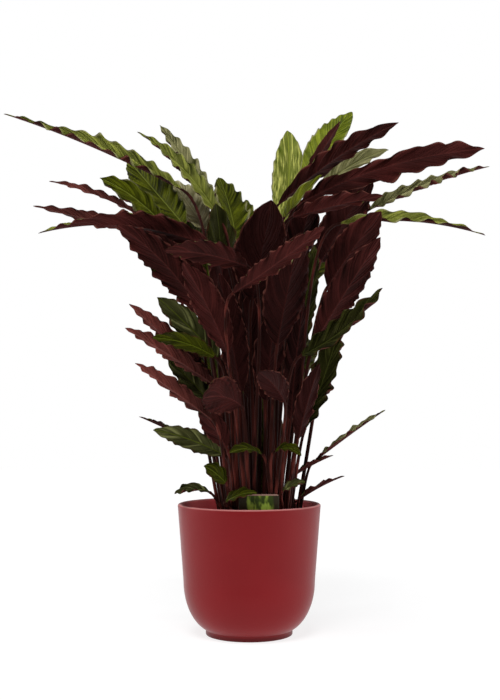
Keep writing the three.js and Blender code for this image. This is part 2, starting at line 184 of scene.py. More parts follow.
# The base and tip are [x, depth, z], with x and z as the photograph shows them at the pot's depth. The turn
# leans the upper face from the front towards the sky, and the parent is the leaf whose sheath this one shares
Leaf = namedtuple(
    "Leaf",
    "name base tip arch width turn fold finish wave_share ripple_height ripple_pitch parent",
    defaults=[None],
)
LEAVES = [Leaf(*row) for row in (
    ("left_top_1", (-100, 30, 665), (-368, 60, 779), 7, 45, 54, 38, "leafy", 0.8, 2.4, 26),
    ("left_top_2", (-133, 36, 617), (-224, 28, 683), 6, 42, 35, 18, "glossy", 0.85, 2.2, 22),
    ("left_top_3", (-97, 60, 611), (-182, 240, 710), 0, 60, 25, 12, "glossy", 0.7, 2.2, 19),
    ("left_top_4", (-40, 50, 614), (-168, 145, 752), 13, 34, 40, 24, "leafy", 0.9, 0.8, 28),
    ("left_top_5", (-44, 75, 618), (-134, 215, 762), 4, 38, 45, 24, "silky", 0.9, 0.7, 28),
    ("left_top_6", (-64, 100, 605), (-116, 270, 679), 0, 57, 20, 12, "pale", 0.7, 0.8, 24),
    ("left_top_7", (-19, 56, 582), (-45, 230, 683), 4, 60, 30, 22, "glossy", 0.9, 0.8, 24),
    ("left_top_8", (-4, 94, 587), (-4, 205, 650), 0, 32, 10, 26, "glossy", 0.7, 1.2, 20),
    ("left_top_9", (-148, 70, 617), (-300, 120, 678), 8, 22, 110, 24, "outer", 0.7, 1.8, 24),
    ("left_top_10", (-121, 12, 594), (-324, 35, 641), 0, 28, 125, 18, "outer", 0.6, 1.8, 24),
    ("left_top_11", (-49, -35, 575), (-316, -90, 600), 23, 48, 120, 20, "leafy", 0.6, 2.2, 22),
    ("left_mid_1", (-71, -55, 476), (-199, -140, 613), 12, 50, 165, 16, "deep", 0.4, 4.4, 18),
    ("left_mid_2", (-50, -32, 486), (-172, -62, 605), 4, 60, 150, 16, "deep", 0.5, 2.0, 16),
    ("left_mid_3", (-2, -105, 550), (-127, -200, 574), 6, 40, 140, 16, "leafy", 0.5, 2.8, 17),
    ("left_mid_4", (-32, -72, 420), (-100, -115, 557), 4, 50, 160, 16, "deep", 0.4, 2.6, 15),
    ("left_low_1", (-46, -12, 363), (-180, -19, 494), 3, 35, 135, 24, "outer", 0.5, 3.4, 17),
    ("left_low_2", (-45, -20, 412), (-138, -28, 504), 2, 48, 30, 12, "striped", 0.8, 2.4, 17),
    ("left_low_3", (-50, -72, 413), (-146, -70, 443), 7, 30, 30, 16, "deep", 0.4, 2.4, 14),
    ("left_low_4", (-48, -30, 370), (-186, -26, 458), 2, 34, 135, 24, "outer", 0.5, 3.4, 17),
    ("left_low_5", (-55, -92, 320), (-171, -85, 405), 1, 32, 135, 24, "outer", 0.5, 3.4, 17),
    ("left_low_6", (-61, -7, 348), (-122, 14, 411), 2, 37, 30, 12, "striped", 0.8, 2.2, 16),
    ("left_low_7", (-36, -45, 266), (-144, -25, 305), 5, 34, 25, 10, "striped", 0.6, 2, 15),
    ("front_1", (-25, -113, 510), (114, -213, 611), -2, 34, 140, 16, "leafy", 0.45, 3.2, 15),
    ("front_2", (4, -27, 500), (33, -110, 650), 0, 78, 165, 12, "inner", 0.4, 1.6, 15),
    ("front_3", (-12, -85, 341), (-70, -180, 352), 8, 58, 168, 16, "deep", 0.3, 2.6, 11),
    ("front_4", (53, -105, 347), (14, -175, 392), 4, 38, 165, 16, "inner", 0.3, 2.4, 11),
    ("front_5", (-34, -64, 278), (-76, -72, 338), 2, 36, 165, 16, "deep", 0.5, 1.6, 12),
    ("front_6", (26, -30, 347), (41, -70, 492), 2, 50, 160, 12, "inner", 0.5, 1.8, 15),
    ("front_7", (-12, -45, 362), (-44, -72, 540), 0, 46, 160, 12, "inner", 0.4, 2.4, 14),
    ("front_8", (42, -85, 432), (78, -150, 602), 2, 64, 160, 12, "inner", 0.5, 1.8, 15),
    ("right_top_1", (51, 85, 612), (57, 250, 754), -6, 56, 15, 16, "young", 0.35, 0.5, 24),
    ("right_top_2", (80, 105, 686), (154, 290, 782), 2, 52, 15, 16, "bright", 0.45, 0.5, 34),
    ("right_top_3", (42, 15, 641), (224, 20, 766), 10, 38, 135, 16, "leafy", 0.6, 3.8, 37),
    ("right_top_4", (78, 50, 665), (137, 100, 768), 2, 20, 150, 16, "leafy", 0.6, 1.0, 20),
    ("right_top_5", (107, 75, 665), (209, 100, 725), 8, 40, 38, 20, "silky", 0.5, 1.2, 22),
    ("right_top_6", (78, 0, 647), (353, -60, 727), 15, 48, 150, 16, "leafy", 0.8, 6.4, 44),
    ("right_top_7", (179, 10, 635), (360, 30, 700), 5, 38, 50, 36, "silky", 0.9, 4.6, 23),
    ("right_top_8", (134, -80, 614), (354, -60, 597), 12, 32, 55, 32, "leafy", 0.9, 2.6, 38),
    ("right_top_9", (64, -45, 624), (202, -130, 656), 3, 34, 125, 22, "leafy", 0.7, 2.0, 22),
    ("right_top_10", (52, -15, 622), (110, -5, 688), 0, 38, 60, 24, "glossy", 0.6, 1.2, 20),
    ("right_mid_1", (107, 15, 557), (184, 30, 692), 0, 62, 165, 12, "inner", 0.45, 2.4, 15),
    ("right_mid_2", (118, -45, 521), (198, -110, 633), 2, 55, 165, 14, "deep", 0.45, 2.4, 15),
    ("right_mid_3", (101, -76, 442), (197, -150, 594), 1, 48, 160, 14, "deep", 0.4, 2.8, 15),
    ("right_mid_4", (69, -6, 400), (101, 2, 578), 2, 40, 24, 16, "inner", 0.6, 1.8, 16),
    ("right_low_1", (77, -100, 416), (200, -150, 518), -10, 38, 45, 28, "shaded", 0.9, 4, 27),
    ("right_low_2", (84, -25, 308), (139, -5, 467), -2, 44, 30, 22, "shaded", 0.4, 4.8, 21),
    ("right_low_3", (73, -70, 290), (106, -85, 405), 2, 34, 150, 16, "inner", 0.5, 1.8, 13),
    ("right_low_4", (95, -5, 256), (204, 10, 335), 1, 19, 80, 32, "silky", 0.6, 2.0, 19),
    ("back_1", (-58, 90, 520), (-114, 300, 650), 12, 60, 15, 16, "deep", 0.6, 1.2, 17),
    ("back_2", (15, 100, 540), (30, 340, 630), 16, 52, 5, 16, "deep", 0.6, 1.2, 17),
    ("back_3", (86, 90, 520), (163, 300, 602), 14, 50, 15, 16, "deep", 0.6, 1.2, 17),
    ("back_4", (-25, 95, 420), (-70, 290, 490), 12, 46, 10, 16, "deep", 0.6, 1.2, 17),
    ("back_5", (62, 90, 365), (103, 270, 440), 12, 52, 10, 16, "deep", 0.6, 1.2, 17),
    ("back_6", (-46, 75, 325), (-68, 230, 435), 8, 46, 15, 16, "deep", 0.6, 1.2, 17),
    ("back_7", (-15, 66, 200), (-17, 156, 388), 6, 64, 10, 16, "deep", 0.6, 1.2, 17, "back_4"),
    ("back_8", (25, 45, 200), (34, 100, 385), 6, 60, 10, 16, "deep", 0.6, 1.2, 17, "back_5"),
    ("front_9", (0, -2, 350), (0, -8, 515), 0, 44, 160, 12, "inner", 0.6, 1.4, 16),
    ("front_10", (62, -30, 320), (82, -28, 500), 2, 35, 160, 14, "inner", 0.6, 1.4, 16),
    ("rim_1", (-60, -60, 212), (-112, -64, 209), 5, 22, 60, 26, "striped", 0.9, 3, 13, "left_low_5"),
    ("rim_2", (-36, -86, 196), (12, -84, 210), 5, 24, 60, 16, "deep", 0.6, 1.6, 12, "front_3"),
    ("rim_3", (-35, -85, 225), (-68, -100, 251), 2, 30, 40, 16, "deep", 0.6, 1.2, 11, "front_5"),
    ("rim_4", (68, -7, 196), (143, -10, 236), 3, 22, 97, 28, "striped", 0.7, 1.8, 13, "right_low_4"),
    ("rim_5", (63, -9, 234), (126, -6, 267), 2, 20, 97, 28, "striped", 0.7, 1.8, 13, "right_low_4"),
    ("rim_6", (50, -72, 213), (84, -90, 227), 2, 20, 60, 22, "striped", 0.6, 1.6, 11, "right_low_3"),
    ("low_1", (38, -88, 272), (78, -102, 266), 8, 22, 60, 16, "deep", 0.6, 1.4, 12, "front_4"),
    ("low_2", (20, -80, 268), (-30, -115, 270), 7, 22, 60, 16, "deep", 0.6, 1.4, 12, "front_4"),
    ("low_3", (-62, -2, 277), (-165, 10, 325), 1, 22, 97, 26, "deep", 0.5, 1.8, 14, "left_low_6"),
    ("fill_1", (-42, 36, 530), (-50, 52, 645), 2, 54, 30, 14, "inner", 0.6, 1.4, 16, "left_top_4"),
    ("fill_2", (70, 25, 555), (98, 25, 662), 2, 54, 160, 14, "inner", 0.6, 1.4, 16, "right_top_4"),
    ("fill_3", (-40, -3, 450), (-43, -6, 585), 2, 54, 160, 14, "inner", 0.6, 1.4, 16, "left_low_1"),
    ("fill_4", (9, 24, 425), (5, 38, 585), 2, 62, 160, 14, "inner", 0.6, 1.4, 16, "front_9"),
)]

# How far some blades twist from their middle to their tip, and back from it to their base, in degrees
TWISTS = {
    "left_top_4": 14, "left_top_5": -16, "left_top_10": -10, "left_top_11": -45, "left_low_1": 10,
    "left_low_5": -12, "front_1": 8, "right_top_2": 10, "right_top_3": 12, "right_top_6": 10,
    "right_top_7": 20, "right_top_8": 16, "right_low_1": 16, "right_low_4": -12,
}

# Blades with one margin drawn in: which margin, places along the blade, and the share drawn in at each
DRAWN_IN = {
    "right_top_6": (1, [0.12, 0.3, 0.45, 0.85], [0, 0.5, 0.5, 0]),
    "left_top_1": (1, [0.5, 0.75], [0, 0.5]),
    "right_top_7": (-1, [0.12, 0.35, 0.65], [0, 0.35, 0.45]),
    "right_top_8": (-1, [0.55, 0.8], [0, 0.4]),
}

# Camera, at the height and distance that the photograph shows the pot from
camera = bpy.data.objects.new("camera", bpy.data.cameras.new("camera"))
camera.location = (0.0012, -VIEW_DISTANCE * MM, VIEW_HEIGHT * MM)
camera.rotation_euler = (math.pi / 2, 0, 0)
camera.data.lens = 58.3
camera.data.shift_y = 0.0724
bpy.context.scene.collection.objects.link(camera)
bpy.context.scene.camera = camera


def linear(red, green, blue):
    """A colour given as 0 to 255 on screen, as the shaders read it."""
    shares = [value / 255 for value in (red, green, blue)]
    return (*[share / 12.92 if share <= 0.04045 else ((share + 0.055) / 1.055) ** 2.4 for share in shares], 1)


class Wire:
    """A socket in a finish. Sums, products and powers of wires add Math nodes."""

    def __init__(self, tree, socket=None):
        self.tree = tree
        self.socket = socket

    def node(self, kind, settings=None, inputs=None, output=0):
        """Adds a node, sets it, then links or fills its inputs; returns the wire from one output."""
        made = self.tree.nodes.new("ShaderNode" + kind)
        for key, value in (settings or {}).items():
            setattr(made, key, value)
        for key, value in (inputs or {}).items():
            if isinstance(value, Wire):
                self.tree.links.new(value.socket, made.inputs[key])
            else:
                made.inputs[key].default_value = value
        return Wire(self.tree, made.outputs[output])

    def maths(self, operation, *values):
        return self.node("Math", {"operation": operation}, dict(enumerate(values)))

    def __add__(self, other):
        return self.maths("ADD", self, other)

    def __sub__(self, other):
        return self.maths("SUBTRACT", self, other)

    def __rsub__(self, other):
        return self.maths("SUBTRACT", other, self)

    def __mul__(self, other):
        return self.maths("MULTIPLY", self, other)

    def __truediv__(self, other):
        return self.maths("DIVIDE", self, other)

    def __pow__(self, other):
        return self.maths("POWER", self, other)

    __radd__ = __add__
    __rmul__ = __mul__

    def unsigned(self):
        """The value without its sign."""
        return self.maths("ABSOLUTE", self)

    def kept(self):
        """The value held between 0 and 1."""
        return self.node("Clamp", None, {0: self, 1: 0, 2: 1})

    def step(self, low, high):
        """0 below low and 1 above high, smooth between."""
        settings = {"interpolation_type": "SMOOTHSTEP"}
        return self.node("MapRange", settings, {0: self, 1: low, 2: high, 3: 0, 4: 1})

    def read(self, name):
        """A number kept with each vertex."""
        return self.node("Attribute", {"attribute_name": name}, None, "Fac")

    def spot(self):
        """Position on the piece, in metres."""
        return self.node("TexCoord", None, None, "Object")

    def place(self, stretch=(1, 1, 1), shift=(0, 0, 0)):
        """Position on the piece, stretched along each axis and shifted."""
        return self.node("Mapping", None, {"Vector": self.spot(), "Scale": stretch, "Location": shift})

    def part(self, axis):
        """One part of a vector: 0 is x, 1 is y and 2 is z."""
        return self.node("SeparateXYZ", None, {0: self}, axis)

    def noise(self, scale, detail=3, where=None):
        sockets = {"Vector": where or self.place(), "Scale": scale, "Detail": detail}
        return self.node("TexNoise", None, sockets)

    def streaks(self, pitch, seed=0, run=60):
        """Streaks along a leaf's side veins, about pitch millimetres apart and run millimetres long."""
        sockets = {0: self.read("vein_mm") / pitch, 1: self.read("out_mm") / run, 2: seed}
        return self.noise(1, 2, self.node("CombineXYZ", None, sockets))

    def mix(self, share, first, second):
        """A colour between two others."""
        settings = {"data_type": "RGBA", "clamp_factor": True}
        return self.node("Mix", settings, {0: share, 6: first, 7: second}, 2)

    def bump(self, height, depth):
        """Relief of that height, at most depth metres."""
        return self.node("Bump", None, {"Height": height, "Distance": depth, "Strength": 1}, "Normal")


def finish(name, paint, **constants):
    """A material whose surface is set by paint(wire), a dict of socket names to wires, and by constants."""
    material = bpy.data.materials.new(name)
    material.use_nodes = True
    tree = material.node_tree
    surface = tree.nodes["Principled BSDF"]
    for socket, value in constants.items():
        surface.inputs[socket.replace("_", " ")].default_value = value
    for socket, value in paint(Wire(tree)).items():
        tree.links.new(value.socket, surface.inputs[socket])
    return material


# Finishes of stalks and leaves
STALK_DARK = linear(30, 10, 7)
STALK_LIGHT = linear(104, 47, 40)


def stalk_colour(wire):
    """Burgundy stalks, streaked lengthwise, some of them painted paler in broad patches as lit stalks among
    shaded ones.
    """
    streaks = wire.noise(150, 4, wire.place((1, 1, 0.04)))
    # Painted light and shade: broad patches of stalks painted paler, as if lit, among darker shaded ones
    paler = wire.noise(26, 2, wire.place((1, 1, 0.1), (0.052, 0, 0)))
    return wire.mix(streaks.step(0.4, 0.7) * (paler.step(0.45, 0.62) * 0.8 + 0.2), STALK_DARK, STALK_LIGHT)


def stalk_paint(wire):
    """Stalks with a fine down."""
    down = wire.noise(900, 2)
    return {
        "Base Color": stalk_colour(wire),
        "Roughness": down * 0.2 + 0.5,
        "Normal": wire.bump(down, 0.0004),
    }


def upper_face(name, deep, light, midrib, rim, band_strength, gloss, pitch=8, run=60):
    """Upper side of a leaf: green, glossy, ridged by its side veins, with a paler midrib, pale vein streaks
    that are partly painted highlight, painted light and shade on its waves, and an edge line, a pale one
    partly painted highlight.
    """

    def paint(wire):
        across = wire.read("across")
        drift = wire.noise(22, 3)
        # Pale streaks along the side veins: partly the leaf's own colour, partly painted highlight on the
        # vein ridges
        bands = wire.streaks(pitch, 0, run).step(0.36 + band_strength / 6, 0.5 + band_strength / 6)
        fine = wire.streaks(1.6, 4)
        ridges = bands * (across.step(0.02, 0.2) * (1 - across.step(0.8, 1) * 0.5))
        patches = drift.step(0.35, 0.7) * (0.8 - 0.8 * band_strength)
        # Painted light on the crests of the waves and painted shade in their hollows
        crests = wire.read("lifted") * 0.55
        shade = (ridges * band_strength + patches + fine * 0.2 + crests).kept()
        body = wire.mix(shade, linear(*deep), linear(*light))
        rib = 1 - wire.read("out_mm").unsigned().step(0.4, 1.3)
        ribbed = wire.mix(rib * 0.75, body, linear(*midrib))
        # Edge line: a brown one is the leaf's own margin, a pale one partly a pale margin and partly painted
        # highlight
        edged = wire.mix(across.step(0.88, 0.95) * drift.step(0.38, 0.6) * 0.8, ribbed, linear(*rim))
        relief = ridges * 0.7 + fine * 0.5 + wire.noise(700, 2) * 0.08
        return {
            "Base Color": wire.mix(wire.read("bladed").step(0.25, 0.85), stalk_colour(wire), edged),
            "Roughness": drift * 0.2 + 0.3,
            "Normal": wire.bump(relief, 0.0022),
        }

    return finish(name, paint, Specular_IOR_Level=gloss, Specular_Tint=linear(240, 228, 140))


def lower_face(name, deep, light, midrib, fading=0):
    """Lower side of a leaf: velvety burgundy, ribbed, with a faint midrib, painted light and shade on its
    waves, a painted highlight along its edge, and fading to deep at its base.
    """

    def paint(wire):
        bands = wire.streaks(6).step(0.35, 0.7)
        fine = wire.streaks(2, 4)
        drift = wire.noise(20, 3).step(0.35, 0.75)
        down = wire.noise(1400, 2)
        # Broad blotches of darker and paler burgundy
        blotches = wire.noise(9, 2)
        shade = bands * 0.3 + drift * 0.3 + blotches.step(0.4, 0.65) * 0.34 + fine * 0.14
        # Painted light on the waves that bulge towards the lower side, and painted shade on those that fall
        # back
        shade = (shade - wire.read("lifted") * 0.5).kept()
        near_base = 1 - wire.read("vein_mm").step(30, 110)
        body = wire.mix(shade * (1 - near_base * fading), linear(*deep), linear(*light))
        rib = 1 - wire.read("out_mm").unsigned().step(0.3, 1.1)
        ribbed = wire.mix(rib * 0.3, body, linear(*midrib))
        # A painted highlight along the edge, in patches
        painted_edge_highlight = wire.read("across").step(0.91, 0.97) * blotches.step(0.35, 0.6)
        edged = wire.mix(painted_edge_highlight * 0.5, ribbed, linear(140, 84, 72))
        return {
            "Base Color": wire.mix(wire.read("bladed").step(0.25, 0.85), stalk_colour(wire), edged),
            "Roughness": down * 0.15 + 0.6,
            "Normal": wire.bump(bands * 0.7 + fine * 0.3 + down * 0.05, 0.002),
        }

    return finish(name, paint, Specular_IOR_Level=0.12, Specular_Tint=linear(235, 165, 165))


BROWN_EDGE = (66, 34, 22)
# Pale edge: partly a pale margin and partly painted highlight where margins turn up to the light
PALE_EDGE_AND_HIGHLIGHT = (168, 164, 116)

# Upper faces: name, the dark colour (also painted shade in the hollows) and the pale one (also painted light
# on the crests), the midrib and the edge, strength of the bands, gloss, and the pitch and run of the bands
# where they aren't the usual ones
UPPER_FACES = {
    "deep": ("leaf_deep_green", (12, 16, 0), (74, 80, 10), (100, 112, 28), BROWN_EDGE, 0.5, 0.15),
    "shaded": ("leaf_shaded_green", (7, 9, 0), (60, 62, 26), (72, 78, 32), BROWN_EDGE, 0.6, 0.14),
    "striped": ("leaf_striped", (12, 16, 0), (120, 122, 74), (84, 94, 26), BROWN_EDGE, 0.8, 0.14, 12),
    "glossy": ("leaf_glossy", (20, 26, 0), (112, 120, 22), (136, 146, 56), PALE_EDGE_AND_HIGHLIGHT, 0.5, 0.18),
    "leafy": ("leaf_green", (44, 54, 2), (160, 166, 72), (160, 168, 76), PALE_EDGE_AND_HIGHLIGHT, 0.5, 0.3),
    # The silky and pale greys are partly the leaves' own grey-green and partly painted sheen
    "silky": ("leaf_silky", (58, 62, 24), (170, 166, 118), (160, 160, 104), PALE_EDGE_AND_HIGHLIGHT, 0.5, 0.35),
    "pale": ("leaf_pale", (122, 118, 74), (216, 208, 162), (200, 194, 150), PALE_EDGE_AND_HIGHLIGHT, 0.45, 0.35),
    "young": ("leaf_young", (74, 92, 0), (226, 228, 120), (160, 170, 60), PALE_EDGE_AND_HIGHLIGHT, 0.7, 0.25, 40, 3.4),
    "bright": ("leaf_bright", (60, 76, 2), (156, 168, 46), (146, 158, 54), PALE_EDGE_AND_HIGHLIGHT, 0.45, 0.25),
}
GREENS = {kind: upper_face(*values) for kind, values in UPPER_FACES.items()}

# Leaves inside the clump get darker copies of the finishes as painted shade, shaded green above and dark
# burgundy below, and some outer ones deep green and rosy
GREENS["inner"] = GREENS["shaded"]
GREENS["outer"] = GREENS["deep"]
BURGUNDY = lower_face("leaf_burgundy", (22, 8, 6), (86, 37, 34), (108, 54, 50))
OTHER_BURGUNDIES = {
    "inner": lower_face("leaf_burgundy_painted_shade", (14, 5, 4), (56, 22, 20), (80, 34, 30)),
    "outer": lower_face("leaf_rosy_burgundy", (30, 12, 10), (136, 70, 62), (124, 72, 64), 0.75),
}
STALK = finish("stalk", stalk_paint, Specular_IOR_Level=0.2, Specular_Tint=linear(230, 150, 140))


def made_piece(name, points, faces, materials, slots=None, numbers=None, spread=None, smooth=True):
    """A mesh from points in millimetres. spread holds two map coordinates for each corner of each face."""
    mesh = bpy.data.meshes.new(name)
    mesh.from_pydata(np.asarray(points) * MM, [], faces)
    for material in materials:
        mesh.materials.append(material)
    if slots is not None:
        mesh.polygons.foreach_set("material_index", np.asarray(slots, np.int32))
    mesh.polygons.foreach_set("use_smooth", np.full(len(mesh.polygons), smooth))
    for key, values in (numbers or {}).items():
        mesh.attributes.new(key, "FLOAT", "POINT").data.foreach_set("value", np.asarray(values, np.float32))
    if spread is not None:
        mesh.uv_layers.new(name="OFBake").uv.foreach_set("vector", np.asarray(spread, np.float32).ravel())
    mesh.update()
    piece = bpy.data.objects.new(name, mesh)
    bpy.context.scene.collection.objects.link(piece)
    return piece


def settled(piece, slot, *nodes):
    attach(piece, "root")
    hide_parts(*nodes)
    return piece


# Leaves
UP = np.array([0.0, 0.0, 1.0])
FRONT = np.array([0.0, -1.0, 0.0])
NUMBERS = ("out_mm", "vein_mm", "across", "bladed", "lifted")

# Places from the rib to the margin, and the points round a ring as hand, place and face: 1 is right or upper,
# and -1 left or lower
COLUMNS = np.array([0, 0.05, 0.11, 0.24, 0.4, 0.56, 0.71, 0.84, 0.94, 1])
RING = [(-1, q, 1) for q in COLUMNS[::-1]] + [(1, q, 1) for q in COLUMNS[1:]]
RING += [(1, q, -1) for q in COLUMNS[-2:0:-1]] + [(-1, q, -1) for q in COLUMNS[:-1]]
STRIPS = len(RING) // 2

DRAW_FACTOR = 16807
DRAW_MODULUS = 2147483647
drawn = 20417


def draw():
    """The same repeatable draws, in the same order, as the solids are made with."""
    global drawn
    drawn = drawn * DRAW_FACTOR % DRAW_MODULUS
    return drawn / DRAW_MODULUS


def unit(vectors):
    return vectors / np.linalg.norm(vectors, axis=-1, keepdims=True)


def placed(spot):
    """A point that still lies where the photograph shows it, moved to its own depth."""
    scale = (VIEW_DISTANCE + spot[1]) / VIEW_DISTANCE
    return np.array([spot[0] * scale, spot[1], VIEW_HEIGHT + (spot[2] - VIEW_HEIGHT) * scale])


def curve(controls, along):
    """Points of a Bezier curve."""
    rows = [np.asarray(control, float)[None, :] for control in controls]
    share = np.asarray(along, float)[:, None]
    while len(rows) > 1:
        rows = [first * (1 - share) + second * share for first, second in zip(rows, rows[1:])]
    return rows[0]


def heading(controls, along):
    return unit(curve([second - first for first, second in zip(controls, controls[1:])], along))


def spread_feet(leaves):
    """Each stalk's foot on the soil, moved apart as in the solids."""
    fan = np.array([FAN_ACROSS, 0, SOIL_TOP - FAN_DEPTH])
    rays = [placed(leaf.base) - fan for leaf in leaves]
    feet = [fan + ray * FAN_DEPTH / ray[2] for ray in rays]
    for _ in range(SPREAD_PASSES):
        for first in range(len(feet)):
            for second in range(first + 1, len(feet)):
                apart = feet[second] - feet[first]
                distance = math.sqrt(apart @ apart)
                if distance < FOOT_SPACING:
                    move = apart * ((FOOT_SPACING - distance) / 2 / distance)
                    feet[second] = feet[second] + move
                    feet[first] = feet[first] - move
    return feet


def leaf_line(leaf, foot, parent):
    """The controls of a leaf's rib and petiole, and the direction of its upper face."""
    base, tip = placed(leaf.base), placed(leaf.tip)
    ahead = unit(tip - base)
    facing = unit(FRONT - ahead * (FRONT @ ahead))
    upward = np.cross(ahead, facing)
    hand = -1 if upward[2] < 0 else 1
    upward = upward * hand
    turn = math.radians(leaf.turn)
    rib = [base, (base + tip) / 2 + upward * leaf.arch * 2, tip]
    ray = unit(base - foot)
    ray = unit(ray + (UP - ray) * ROOT_LEAN)
    collar = parent["collar"] if parent else foot + ray * COLLAR_HEIGHT / ray[2]
    rise = np.linalg.norm(base - collar)
    below = base - heading(rib, [0])[0] * rise * BLADE_PULL
    return {
        "rib": rib,
        "petiole": [collar, collar + ray * rise * ROOT_PULL, below, base],
        "root": None if parent else foot - ray * PETIOLE_DEPTH / ray[2],
        "collar": collar,
        "ray": ray,
        "upper": facing * math.cos(turn) + upward * math.sin(turn),
        "length": np.linalg.norm(tip - base),
        "radius": LEAST_PETIOLE + SLENDERNESS * leaf.width / 2,
        "twist": math.radians(TWISTS.get(leaf.name, 0)) * hand,
    }


def wave_draws(length):
    """Where the crests and hollows of a margin lie, how far it sways, and if both margins sway alike."""
    steps = 2 * max(LEAST_WAVES, math.floor(length / WAVE_SPACING + 0.5))
    stagger = 1 if draw() < 0.5 else -1
    along, sway = [], []
    for step in range(steps + 1):
        shift = (draw() - 0.5) * WAVE_JITTER if 0 < step < steps else 0
        along.append((step + shift) / steps)
        sway.append((1 if step % 2 == 0 else -1) * (LEAST_SWAY + SWAY_RANGE * draw()))
    return np.array(along), np.array(sway), stagger


def swayed(along, knots, sway):
    """The margin's sway between its crests and hollows."""
    place = np.clip(along, 0, 1)
    low = np.clip(np.searchsorted(knots, place, "right") - 1, 0, len(knots) - 2)
    share = np.clip((place - knots[low]) / (knots[low + 1] - knots[low]), 0, 1)
    return sway[low] + (sway[low + 1] - sway[low]) * (0.5 - 0.5 * np.cos(math.pi * share))


def ripple_draws(leaf, random):
    """The pitch of a leaf's ripples, and where those of its left and right margins start."""
    pitch = leaf.ripple_pitch * (1 - PITCH_RANGE / 2 + PITCH_RANGE * random.random())
    return pitch, random.random((2, 3)) * LONGEST_START


def ripples(turns, starts, height):
    """The lift of a margin's ripples and the lobes between them, at places counted in turns."""
    height = height * (LEAST_SWELL + SWELL_RANGE * np.sin(turns * SWELL_TURNS + starts[2]))
    drift = RIPPLE_DRIFT * np.sin(turns * DRIFT_TURNS + starts[1])
    angle = math.pi * (turns + drift + starts[0])
    lobes = np.abs(np.sin(angle)) ** LOBE_SHAPE - LOBE_LEVEL
    return np.sin(angle * 2) * height, lobes * height


def blade_share(along):
    """The blade's width along its rib, as a share of its full width."""
    return BLADE_FULLNESS * along**BASE_SHAPE * (1 - along) ** TIP_SHAPE


def leaf_rings(line, blade_rings):
    """The middle, direction, radius and place along the blade of each ring, from the root to the tip."""
    stalk = np.linspace(0, 1, STALK_RINGS)[:-1]
    blade = np.linspace(0, 1, blade_rings)
    at = np.vstack([curve(line["petiole"], stalk), curve(line["rib"], blade)])
    tangents = np.vstack([heading(line["petiole"], stalk), heading(line["rib"], blade)])
    neck = line["radius"] * NECK_SHARE
    start = line["radius"] * (1 if line["root"] is not None else BRANCH_SHARE)
    joint = JOINT_SWELL * np.exp(-(((1 - stalk) / JOINT_SHARE - 1) ** 2))
    blade_radius = neck + (BLADE_THICKNESS / 2 - neck) * blade
    radius = np.concatenate([start + (neck - start) * stalk + joint, blade_radius])
    along = np.concatenate([np.zeros(len(stalk)), blade])
    if line["root"] is not None:
        at = np.vstack([line["root"], at])
        tangents = np.vstack([line["ray"], tangents])
        radius = np.concatenate([[line["radius"]], radius])
        along = np.concatenate([[0], along])
    return at, tangents, radius, along


def carried_upper(tangents, upper, start):
    """The upper direction, carried along the line both ways from one ring."""
    carried = np.zeros_like(tangents)
    for rings in (range(start, len(tangents)), range(start - 1, -1, -1)):
        held = upper if rings.step > 0 else carried[start]
        for ring in rings:
            held = unit(held - tangents[ring] * (held @ tangents[ring]))
            carried[ring] = held
    return carried


def leaf_faces(at):
    """Triangles between the rings, cut along the same diagonals on both faces, and their map coordinates."""
    width = len(RING)
    ring, column = np.meshgrid(np.arange(len(at) - 1), np.arange(width), indexing="ij")
    height = np.concatenate([[0], np.cumsum(np.linalg.norm(np.diff(at, axis=0), axis=1))])
    height /= height[-1]
    ways = ((0, 0), (1, 0), (1, 1), (0, 1))
    quads = np.stack([(ring + rise) * width + (column + step) % width for step, rise in ways], -1)
    spread = [np.stack([(column + step) / width, height[ring + rise]], -1) for step, rise in ways]
    upper_cut, lower_cut = [[0, 1, 2], [0, 2, 3]], [[0, 1, 3], [1, 2, 3]]
    faces, corners = [
        np.stack([squares[:, :STRIPS][:, :, upper_cut], squares[:, STRIPS:][:, :, lower_cut]], 1)
        for squares in (quads, np.stack(spread, -2))
    ]
    return faces.reshape(-1, 3), corners.reshape(-1, 2)


